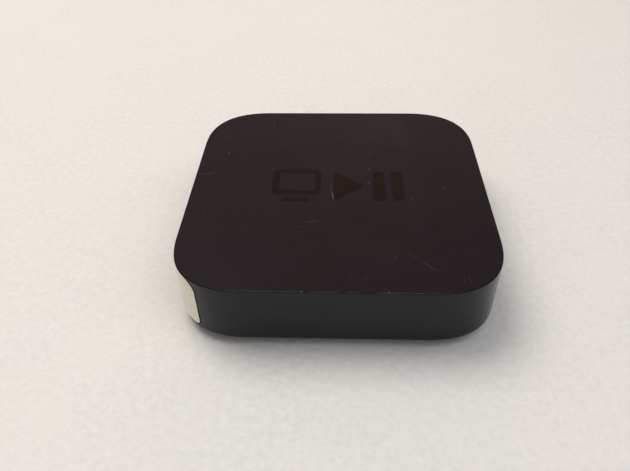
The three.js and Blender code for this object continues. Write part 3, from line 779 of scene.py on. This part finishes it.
def add_fittings(shell):
    """The inside of the shell: screw posts, rails and a thin window for the sensor, hook notches."""
    posts = []
    holes = []
    for screw, (board, count) in SCREW_BOARDS.items():
        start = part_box(board)[1].z + REST
        for number in range(1, count + 1):
            low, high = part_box(f"{screw}_{number}")
            middle = (low + high) / 2
            foot = Vector((middle.x, middle.y, start))
            ceiling = Vector((middle.x, middle.y, CEILING + 0.3 * MM))
            posts.append(add_rod("post", "z", POST_RADIUS, foot, ceiling))
            below = foot - Vector((0, 0, 1 * MM))
            above = ceiling - Vector((0, 0, 2 * MM))
            holes.append(add_rod("hole", "z", PILOT_RADIUS, below, above, 20))
    low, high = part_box("sensor_board")
    rails = [
        add_block(
            "rail",
            (start, CASE_LOW.y + WALL - RUN_IN, low.z - 0.5 * MM),
            (start + RAIL_THICK, high.y + 1 * MM, CEILING + RUN_IN),
        )
        for start in (low.x - RAIL_GAP - RAIL_THICK, high.x + RAIL_GAP)
    ]
    combine(shell, [*posts, *rails], "UNION")
    window = add_block(
        "window",
        (low.x - REST, CASE_LOW.y + WINDOW_THICK, low.z),
        (high.x + REST, CASE_LOW.y + WALL + 0.2 * MM, high.z),
    )
    notch_half = HOOK_HALF + 0.5 * MM
    notch_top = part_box("bottom_cover")[1].z + 0.3 * MM
    notch = add_block(
        "notch",
        (-notch_half, CASE_HIGH.y - WALL - 1 * MM, LEDGE + 1 * MM),
        (notch_half, HOOK_OUTER + BARB_REACH + NOTCH_GAP, notch_top),
    )
    combine(shell, [*holes, window, *on_each_side(notch)], "DIFFERENCE")


def make_case():
    """The upper case: one moulded shell, polished on its walls and textured on its top."""
    shell = rounded_square("case_shell", CASE_LOW, CASE_HIGH, CORNER_REACH, CORNER_STEPS)
    round_off(shell, lying_at("z", CASE_HIGH.z), TOP_EDGE, 5)
    round_off(shell, lying_at("z", CASE_LOW.z), LOWER_EDGE, 7)
    under = every(facing((0, 0, -1)), lying_at("z", CASE_LOW.z))
    push(shell, under, (0, 0, LEDGE - CASE_LOW.z), RIM)
    ledge = every(facing((0, 0, -1)), lying_at("z", LEDGE))
    push(shell, ledge, (0, 0, CEILING - LEDGE), LEDGE_WIDTH)
    inlet = inlet_outline("inlet_cutter", CUT_GAP, CASE_HIGH.y - CUT_DEPTH, CASE_HIGH.y + CUT_DEPTH)
    cutters = [
        inlet,
        socket_cutter("video_shell", VIDEO["chamfer"]),
        socket_cutter("service_shell", SERVICE["chamfer"]),
        socket_cutter("optical_housing"),
        socket_cutter("network_shield"),
    ]
    combine(shell, cutters, "DIFFERENCE")
    add_fittings(shell)
    behind = CASE_HIGH.y - 1 * MM
    mouths = every(
        sharp, lambda edge: all(v.co.y > behind and v.co.z < CEILING for v in edge.verts)
    )
    round_off(shell, mouths, MOUTH_EDGE, 2)
    smooth(shell)
    shell.data.materials.append(polished_wall())
    shell.data.materials.append(matte_top())
    open_mesh(shell)
    above = CEILING + 1 * MM
    choose("FACE", lambda face: face.normal.z > 0.5 and face.calc_center_median().z > above)
    shell.active_material_index = 1
    bpy.ops.object.material_slot_assign()
    close_mesh()
    return attach(shell, "enclosure", "case_plastic", "upper_case")


BASE_TOP = LEDGE - REST
BASE_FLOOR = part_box("bottom_cover")[0].z + 1.2 * MM
BASE_RIM = 4.3 * MM
PLATE_INSET = 2.2 * MM
PLATE_THICK = 1.2 * MM
PLINTH_INSET = 5 * MM
FOOT_INSET = 5.3 * MM
FOOT_RING = 3.2 * MM


def make_hook(foot, tip):
    """A snap hook of the rear side, with a barb that catches in the shell's notch."""
    hook = add_block("hook", (-HOOK_HALF, HOOK_INNER, foot), (HOOK_HALF, HOOK_OUTER, tip))
    open_mesh(hook)
    for level in (BARB_FOOT, BARB_PEAK):
        bpy.ops.mesh.select_all(action="SELECT")
        bpy.ops.mesh.bisect(plane_co=(0, 0, level), plane_no=(0, 0, 1))
    choose("EDGE", every(lying_at("z", BARB_PEAK), lying_at("y", HOOK_OUTER)))
    bpy.ops.transform.translate(value=(0, BARB_REACH, 0))
    close_mesh()
    return round_off(hook, every(lying_at("z", tip), lying_at("y", HOOK_INNER)), 0.3 * MM, 3)


def inset_slab(name, bottom, top, inset):
    """A slab of the case's own outline, moved inwards."""
    low, high = inset_box((CASE_LOW.x, CASE_LOW.y, bottom), (CASE_HIGH.x, CASE_HIGH.y, top), inset)
    return rounded_square(name, low, high, CORNER_REACH - inset)


def make_bottom():
    """The base, a plate on a narrower plinth with a pocket above and eight hooks, and its foot."""
    low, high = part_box("bottom_cover")
    step = BASE_TOP - PLATE_THICK
    plate = inset_slab("base_plate", step, BASE_TOP, PLATE_INSET)
    round_off(plate, lying_at("z", step), 0.25 * MM, 3)
    plinth = inset_slab("base_plinth", low.z, step + 0.5 * MM, PLINTH_INSET)
    round_off(plinth, lying_at("z", low.z), 0.3 * MM, 3)
    combine(plate, [plinth], "UNION")
    inside = every(facing((0, 0, 1)), lying_at("z", BASE_TOP))
    push(plate, inside, (0, 0, BASE_FLOOR - BASE_TOP), BASE_RIM)
    combine(plate, on_each_side(make_hook(BASE_TOP - 0.4 * MM, high.z)), "UNION")
    smooth(plate)
    dress(plate, "enclosure", "cover_plastic", "bottom_cover")
    foot_low, foot_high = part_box("foot_pad")
    foot = rounded_square("rubber_foot", foot_low, foot_high, CORNER_REACH - FOOT_INSET)
    round_off(foot, lying_at("z", foot_low.z), 0.45 * MM, 4)
    under = every(facing((0, 0, -1)), lying_at("z", foot_low.z))
    push(foot, under, (0, 0, 0.25 * MM), FOOT_RING)
    smooth(foot)
    dress(foot, "enclosure", "foot_rubber", "foot_pad")


# ---------------------------------------------------------------- label and emblem

LABEL_TOP_CORNER = 4 * MM
LABEL_LOW_CORNER = 1.6 * MM
LABEL_STRIPS = 30  # how many flat strips follow the round corner
# How far the painted shade round the label reaches past the paper.
LABEL_SHADE_EDGE = 0.35 * MM


def wrap_sheet(name, case_shell, spare, lift, thickness):
    """A sheet with round corners, cut flat, then wrapped round the front left corner."""
    low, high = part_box("corner_label")
    front = Vector((high.x, low.y, 0))
    back = Vector((low.x, high.y, 0))
    across = front - back
    size = Vector((across.length + 2 * spare, high.z - low.z + 2 * spare, 1))
    middle = (front + back) / 2 + Vector((0, 0, (low.z + high.z) / 2))
    outward = Vector((across.y, -across.x, 0)).normalized()
    deselect()
    bpy.ops.mesh.primitive_plane_add(
        size=1,
        location=middle + outward * 2 * MM,
        rotation=(math.pi / 2, 0, math.atan2(across.y, across.x)),
    )
    bpy.context.object.scale = size
    sheet = settle(name)
    open_mesh(sheet)
    choose("VERT", lambda vert: vert.co.z > middle.z)
    bpy.ops.mesh.bevel(offset=LABEL_TOP_CORNER + spare, segments=10, affect="VERTICES")
    choose("VERT", lambda vert: vert.co.z < middle.z - size.y / 2 + TOUCH)
    bpy.ops.mesh.bevel(offset=LABEL_LOW_CORNER + spare, segments=8, affect="VERTICES")
    for strip in range(1, LABEL_STRIPS):
        place = back.lerp(front, strip / LABEL_STRIPS)
        bpy.ops.mesh.select_all(action="SELECT")
        bpy.ops.mesh.bisect(plane_co=place, plane_no=across.normalized())
    close_mesh()
    use(
        sheet,
        "SHRINKWRAP",
        target=case_shell,
        wrap_method="PROJECT",
        use_negative_direction=True,
        offset=lift,
    )
    use(sheet, "SOLIDIFY", thickness=thickness, offset=1)
    return smooth(sheet, 50)


def make_label(case_shell):
    """A blank sticker, with a black sheet under its rim that paints the shade at its edge."""
    label = wrap_sheet("corner_sticker", case_shell, 0, 0.06 * MM, 0.12 * MM)
    dress(label, "enclosure", "label_paper", "corner_label")
    edge_shade = wrap_sheet("sticker_edge_shade", case_shell, LABEL_SHADE_EDGE, 0.01 * MM, 0.03 * MM)
    edge_shade.data.materials.append(finishes["label_edge_shade"])
    attach(edge_shade, "enclosure", "label_paper")


EMBLEM_MIDDLE = Vector((0, 0.3, 0)) * MM
EMBLEM_STEP = 0.02 * MM


def flat_mark(name, half_x, half_y, middle_x, corner, sides=4):
    """A flat mark printed on the top: a rectangle, or a triangle pointing right."""
    deselect()
    place = EMBLEM_MIDDLE + Vector((middle_x, 0, CASE_HIGH.z + EMBLEM_STEP))
    if sides == 3:
        bpy.ops.mesh.primitive_circle_add(
            vertices=3, radius=1, fill_type="NGON", location=place, rotation=(0, 0, -math.pi / 2)
        )
    else:
        bpy.ops.mesh.primitive_plane_add(size=2, location=place)
    mark = bpy.context.object
    mark.scale = (half_y, half_x, 1) if sides == 3 else (half_x, half_y, 1)
    mark = settle(name)
    open_mesh(mark)
    choose("VERT", lambda vert: True)
    bpy.ops.mesh.bevel(offset=corner, segments=8, affect="VERTICES")
    close_mesh()
    return mark


def make_emblem():
    """A generic row of a screen on a stand, a play triangle and two pause bars."""
    screen = flat_mark("screen", 8.2 * MM, 7.1 * MM, -13.8 * MM, 2.4 * MM)
    screen.data.transform(Matrix.Translation((0, 2.2 * MM, 0)))
    open_mesh(screen)
    choose("FACE", lambda face: True)
    bpy.ops.mesh.inset(thickness=2.3 * MM)
    bpy.ops.mesh.delete(type="FACE")
    close_mesh()
    stand = flat_mark("stand", 4.6 * MM, 0.9 * MM, -13.8 * MM, 0.7 * MM)
    stand.data.transform(Matrix.Translation((0, -7.7 * MM, 0)))
    triangle = flat_mark("triangle", 7 * MM, 9.6 * MM, 2.2 * MM, 2 * MM, 3)
    bars = [flat_mark("bar", 2 * MM, 8 * MM, place * MM, 1 * MM) for place in (13.8, 20)]
    emblem = gather("top_emblem", [screen, stand, triangle, *bars])
    use(emblem, "SOLIDIFY", thickness=0.06 * MM, offset=-1)
    emblem.data.materials.append(gloss_print())
    return attach(emblem, "enclosure", "case_plastic")


# ---------------------------------------------------------------- sockets


def middle_of(node):
    low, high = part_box(node)
    return (low + high) / 2


def inlet_outline(name, gap, low_y, high_y):
    """The round-ended block of the mains inlet's nose, larger by a gap all round."""
    middle = middle_of("power_inlet_housing")
    half = INLET_HALF + Vector((gap, 0, gap))
    block = add_block(
        name,
        (middle.x - half.x, low_y, middle.z - half.z),
        (middle.x + half.x, high_y, middle.z + half.z),
    )
    return round_off(block, along("y"), half.z * 0.98, 14)


def make_inlet():
    """The mains inlet: a round-ended nose with two joined wells, each with its pin."""
    low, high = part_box("power_inlet_housing")
    middle = (low + high) / 2
    shoulder = low.y + 12 * MM
    floor = low.y + 3 * MM
    body = add_block("mains_inlet", low, (high.x, shoulder, high.z))
    round_off(body, along("y"), 0.5 * MM, 3)
    nose = inlet_outline("inlet_nose", 0, shoulder - 1 * MM, high.y)
    round_off(nose, lying_at("y", high.y), 0.3 * MM, 3)
    combine(body, [nose], "UNION")
    past = high.y + 1 * MM
    cutters = [
        add_rod(
            "lobe",
            "y",
            INLET_LOBE,
            (middle.x + side * INLET_PITCH / 2, floor, middle.z),
            (middle.x + side * INLET_PITCH / 2, past, middle.z),
            48,
        )
        for side in (-1, 1)
    ]
    cutters.append(
        add_block(
            "web",
            (middle.x - INLET_PITCH / 2, floor, middle.z - INLET_WEB),
            (middle.x + INLET_PITCH / 2, past, middle.z + INLET_WEB),
        )
    )
    combine(body, cutters, "DIFFERENCE")
    round_off(body, every(sharp, lying_at("y", high.y)), 0.25 * MM, 3)
    smooth(body)
    dress(body, "enclosure", "socket_plastic", "power_inlet_housing")
    for number in (1, 2):
        make_inlet_pin(f"power_inlet_pin_{number}")


def make_inlet_pin(node):
    """A round contact pin, with the flat tail that is soldered to the power board."""
    low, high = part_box(node)
    height = middle_of("power_inlet_housing").z
    middle_x = (low.x + high.x) / 2
    radius = (high.x - low.x) / 2
    name = node.replace("power", "mains")
    pin = add_rod(name, "y", radius, (middle_x, low.y, height), (middle_x, high.y, height))
    round_off(pin, lying_at("y", high.y), 0.7 * MM, 5)
    tail = add_block(
        "tail",
        (middle_x - 0.6 * MM, low.y + 0.1 * MM, low.z),
        (middle_x + 0.6 * MM, low.y + 0.8 * MM, height),
    )
    combine(pin, [tail], "UNION")
    smooth(pin)
    dress(pin, "enclosure", "contact_nickel", node)


def make_tongue_socket(kind, shape):
    """A pressed steel shell round a plastic tongue with its rows of contact pads."""
    low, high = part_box(f"{kind}_shell")
    middle = (low + high) / 2
    chamfer = shape["chamfer"]
    sheet = shape["sheet"]
    shell = add_block(f"{kind}_socket_shell", low, high)
    round_off(shell, every(along("y"), lying_at("z", low.z)), chamfer, 1)
    round_off(shell, along("y"), 0.3 * MM, 4)
    push(shell, facing((0, 1, 0)), (0, low.y - high.y + 1 * MM, 0), sheet)
    round_off(shell, every(sharp, lying_at("y", high.y)), sheet * 0.3, 2)
    smooth(shell)
    if kind == "video":
        shell = gather(shell.name, [shell, *spring_tabs(low, high, sheet)])
    dress(shell, "enclosure", "socket_steel", f"{kind}_shell")

    inner_low, inner_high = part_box(f"{kind}_tongue")
    tip = inner_high.y
    half_width = (inner_high.x - inner_low.x) / 2 * shape["tongue"][0]
    half_thick = (inner_high.z - inner_low.z) / 2 * shape["tongue"][1]
    tongue = add_block(
        f"{kind}_socket_tongue",
        (middle.x - half_width, low.y + 1.2 * MM, middle.z - half_thick),
        (middle.x + half_width, tip, middle.z + half_thick),
    )
    round_off(tongue, lying_at("y", tip), half_thick * 0.5, 3)
    base = add_block("base", inner_low, (inner_high.x, inner_low.y + 2 * MM, inner_high.z))
    round_off(base, every(along("y"), lying_at("z", inner_low.z)), chamfer, 1)
    combine(tongue, [base], "UNION")
    smooth(tongue)
    dress(tongue, "enclosure", "socket_plastic", f"{kind}_tongue")

    pads = []
    for count, side in shape["rows"]:
        place = Vector((middle.x, low.y + 1.4 * MM, middle.z + side * half_thick))
        pads += row_of_pads(place, tip - 0.5 * MM, count, shape["pitch"])
    dress(gather(f"{kind}_socket_contacts", pads), "enclosure", "contact_gold")


PAD_FILL = 0.28  # half a pad's width, as a share of the pitch
PAD_HALF_THICK = 0.04 * MM


def row_of_pads(place, tip, count, pitch):
    """Gold contact pads side by side on a tongue, from place to the tip."""
    first = place.x - (count - 1) / 2 * pitch
    half = pitch * PAD_FILL
    pad = add_block(
        "pad",
        (first - half, place.y, place.z - PAD_HALF_THICK),
        (first + half, tip, place.z + PAD_HALF_THICK),
    )
    round_off(pad, lying_at("y", tip), 0.03 * MM, 2)
    return [pad, *repeat(pad, [(pitch * number, 0, 0) for number in range(1, count)])]


def spring_tabs(low, high, sheet):
    """Four bent tabs that press on the plug, inside the top and bottom of the video shell."""
    tabs = []
    middle = (low.x + high.x) / 2
    for inner, inward in ((high.z - sheet, -1), (low.z + sheet, 1)):
        for side in (-1, 1):
            across = sorted((inner + inward * 0.2 * MM, inner - inward * 0.05 * MM))
            tab = add_block(
                "tab",
                (middle + (side * 3.2 - 1.1) * MM, high.y - 1.7 * MM, across[0]),
                (middle + (side * 3.2 + 1.1) * MM, high.y - 1.4 * MM, across[1]),
            )
            steps = [(0, -1.3, 0.35 * inward), (0, -1, 0.1 * inward), (0, -1.6, -0.4 * inward)]
            draw_out(tab, facing((0, -1, 0)), steps)
            tabs.append(smooth(tab, 50))
    return tabs


CAVITY_HALF = 3.85 * MM
MOUTH_HALF = 3.5 * MM
MOUTH_CHAMFER = 1.2 * MM
LIP_THICK = 0.9 * MM
FLAP_HALF = 3.65 * MM
FLAP_THICK = 0.7 * MM
KNUCKLE_RADIUS = 0.45 * MM
PIN_RADIUS = 0.3 * MM


def make_optical_socket():
    """A plastic housing whose mouth has two corners cut, so that a plug goes in one way up."""
    low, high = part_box("optical_housing")
    middle = (low + high) / 2
    housing = add_block("optical_socket", low, high)
    round_off(housing, lying_at("y", high.y), 0.2 * MM, 3)
    cavity = add_block(
        "cavity",
        (middle.x - CAVITY_HALF, low.y + 3 * MM, low.z + 1 * MM),
        (middle.x + CAVITY_HALF, high.y - LIP_THICK, high.z - 0.8 * MM),
    )
    sill = low.z + 1.4 * MM
    mouth = add_block(
        "mouth",
        (middle.x - MOUTH_HALF, high.y - 2 * LIP_THICK, sill),
        (middle.x + MOUTH_HALF, high.y + 1 * MM, high.z - 1.3 * MM),
    )
    round_off(mouth, every(along("y"), lying_at("z", sill)), MOUTH_CHAMFER, 1)
    combine(housing, [cavity, mouth], "DIFFERENCE")
    round_off(housing, every(sharp, lying_at("y", high.y)), 0.2 * MM, 3)
    smooth(housing)
    dress(housing, "enclosure", "socket_plastic", "optical_housing")


def make_shutter():
    """The optical socket's flap, with its knuckle and pins, and room for the spring beside it."""
    low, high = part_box("optical_shutter")
    pivot = Vector(frame["joints"][0]["pos_m"])
    outside = pivot.y + FLAP_THICK / 2
    reach = Vector((FLAP_HALF, 0, 0))
    flap = add_block(
        "optical_flap",
        (pivot.x - FLAP_HALF, pivot.y - FLAP_THICK / 2, low.z),
        (pivot.x + FLAP_HALF, outside, pivot.z),
    )
    round_off(flap, every(along("y"), lying_at("z", low.z)), MOUTH_CHAMFER, 1)
    round_off(flap, every(sharp, lying_at("y", outside)), 0.12 * MM, 2)
    push(flap, every(facing((0, 1, 0)), lying_at("y", outside)), (0, -0.2 * MM, 0), 0.8 * MM)
    knuckle = add_rod("knuckle", "x", KNUCKLE_RADIUS, pivot - reach, pivot + reach)
    pin_ends = [(end, pivot.y, pivot.z) for end in (low.x, high.x)]
    pins = add_rod("pins", "x", PIN_RADIUS, *pin_ends)
    relief = add_block(
        "relief",
        pivot + Vector((2.1, -1, -0.9)) * MM,
        pivot + Vector((3.5, 1, 1)) * MM,
    )
    combine(flap, [knuckle], "UNION")
    combine(flap, [relief], "DIFFERENCE")
    combine(flap, [pins], "UNION")
    smooth(flap)
    dress(flap, "shutter", "socket_plastic", "optical_shutter")


NETWORK_MOUTH_HALF = 5.9 * MM
LATCH_HALF = 3.1 * MM
CONTACT_PITCH = 1.02 * MM
CONTACT_HALF = 0.2 * MM
CONTACTS = 8


def make_network_socket():
    """A steel shield round a plastic body, with a mouth and a slot for the plug's latch."""
    low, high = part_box("network_shield")
    shield = add_block("network_socket_shield", low, high)
    round_off(shield, along("y"), 0.4 * MM, 3)
    push(shield, facing((0, 1, 0)), (0, low.y - high.y + 1 * MM, 0), 0.3 * MM)
    smooth(shield)
    dress(shield, "enclosure", "socket_steel", "network_shield")
    body_low = low + Vector((0.4, 1.2, 0.4)) * MM
    body_high = Vector((high.x - 0.4 * MM, high.y - 0.15 * MM, high.z - 0.4 * MM))
    middle = (body_low + body_high) / 2
    body = add_block("network_socket", body_low, body_high)
    round_off(body, lying_at("y", body_high.y), 0.15 * MM, 2)
    past = body_high.y + 1 * MM
    back = low.y + 2.5 * MM
    mouth_low, mouth_high, slot_low = low.z + 3.2 * MM, low.z + 9.9 * MM, low.z + 1.3 * MM
    cutters = [
        add_block(
            "mouth",
            (middle.x - NETWORK_MOUTH_HALF, back, mouth_low),
            (middle.x + NETWORK_MOUTH_HALF, past, mouth_high),
        ),
        add_block(
            "slot",
            (middle.x - LATCH_HALF, back, slot_low),
            (middle.x + LATCH_HALF, past, mouth_low + 1 * MM),
        ),
    ]
    combine(body, cutters, "DIFFERENCE")
    round_off(body, every(sharp, lying_at("y", body_high.y)), 0.3 * MM, 3)
    smooth(body)
    dress(body, "enclosure", "socket_plastic", "network_housing")
    make_network_contacts(middle.x, back, mouth_high)


def make_network_contacts(middle_x, back, ceiling):
    """Eight sprung gold wires that slope down from the ceiling towards the mouth."""
    first = middle_x - (CONTACTS - 1) / 2 * CONTACT_PITCH
    start = back + 0.4 * MM
    wire = add_block(
        "wire",
        (first - CONTACT_HALF, start, ceiling - 5.2 * MM),
        (first + CONTACT_HALF, start + 0.35 * MM, ceiling - 0.6 * MM),
    )
    steps = [(0, 0.5, 0.25), (0, 2.2, 0.1), (0, 3.6, -0.9), (0, 2.4, -0.75), (0, 0.6, 0.1)]
    draw_out(wire, facing((0, 0, 1)), steps)
    moves = [(CONTACT_PITCH * number, 0, 0) for number in range(1, CONTACTS)]
    wires = gather("network_socket_contacts", [wire, *repeat(wire, moves)])
    use(wires, "BEVEL", width=0.06 * MM, segments=2, limit_method="ANGLE")
    smooth(wires, 40)
    dress(wires, "enclosure", "contact_gold", "network_contacts")


# ---------------------------------------------------------------- what the box holds

SOFTENED_EDGE = 0.08 * MM
WELD_GAP = 0.001 * MM


def finish_inner_pieces():
    """Gives each CAD node that still shows its own finish, and softens its edges."""
    slots = {row["node"]: row["material_slot"] for row in frame["record"]["subparts"]}
    for name, piece in frame["nodes"].items():
        if piece.hide_render:
            continue
        piece.data.materials.clear()
        piece.data.materials.append(finishes[slots[name]])
        piece.modifiers.new("Weld", "WELD").merge_threshold = WELD_GAP
        bevel = piece.modifiers.new("Bevel", "BEVEL")
        bevel.width = SOFTENED_EDGE
        bevel.segments = 2
        bevel.limit_method = "ANGLE"


add_camera()
add_floor()
add_lighting()
finishes = make_finishes()
case_shell = make_case()
make_bottom()
make_label(case_shell)
make_emblem()
make_inlet()
make_tongue_socket("video", VIDEO)
make_tongue_socket("service", SERVICE)
make_optical_socket()
make_shutter()
make_network_socket()
finish_inner_pieces()
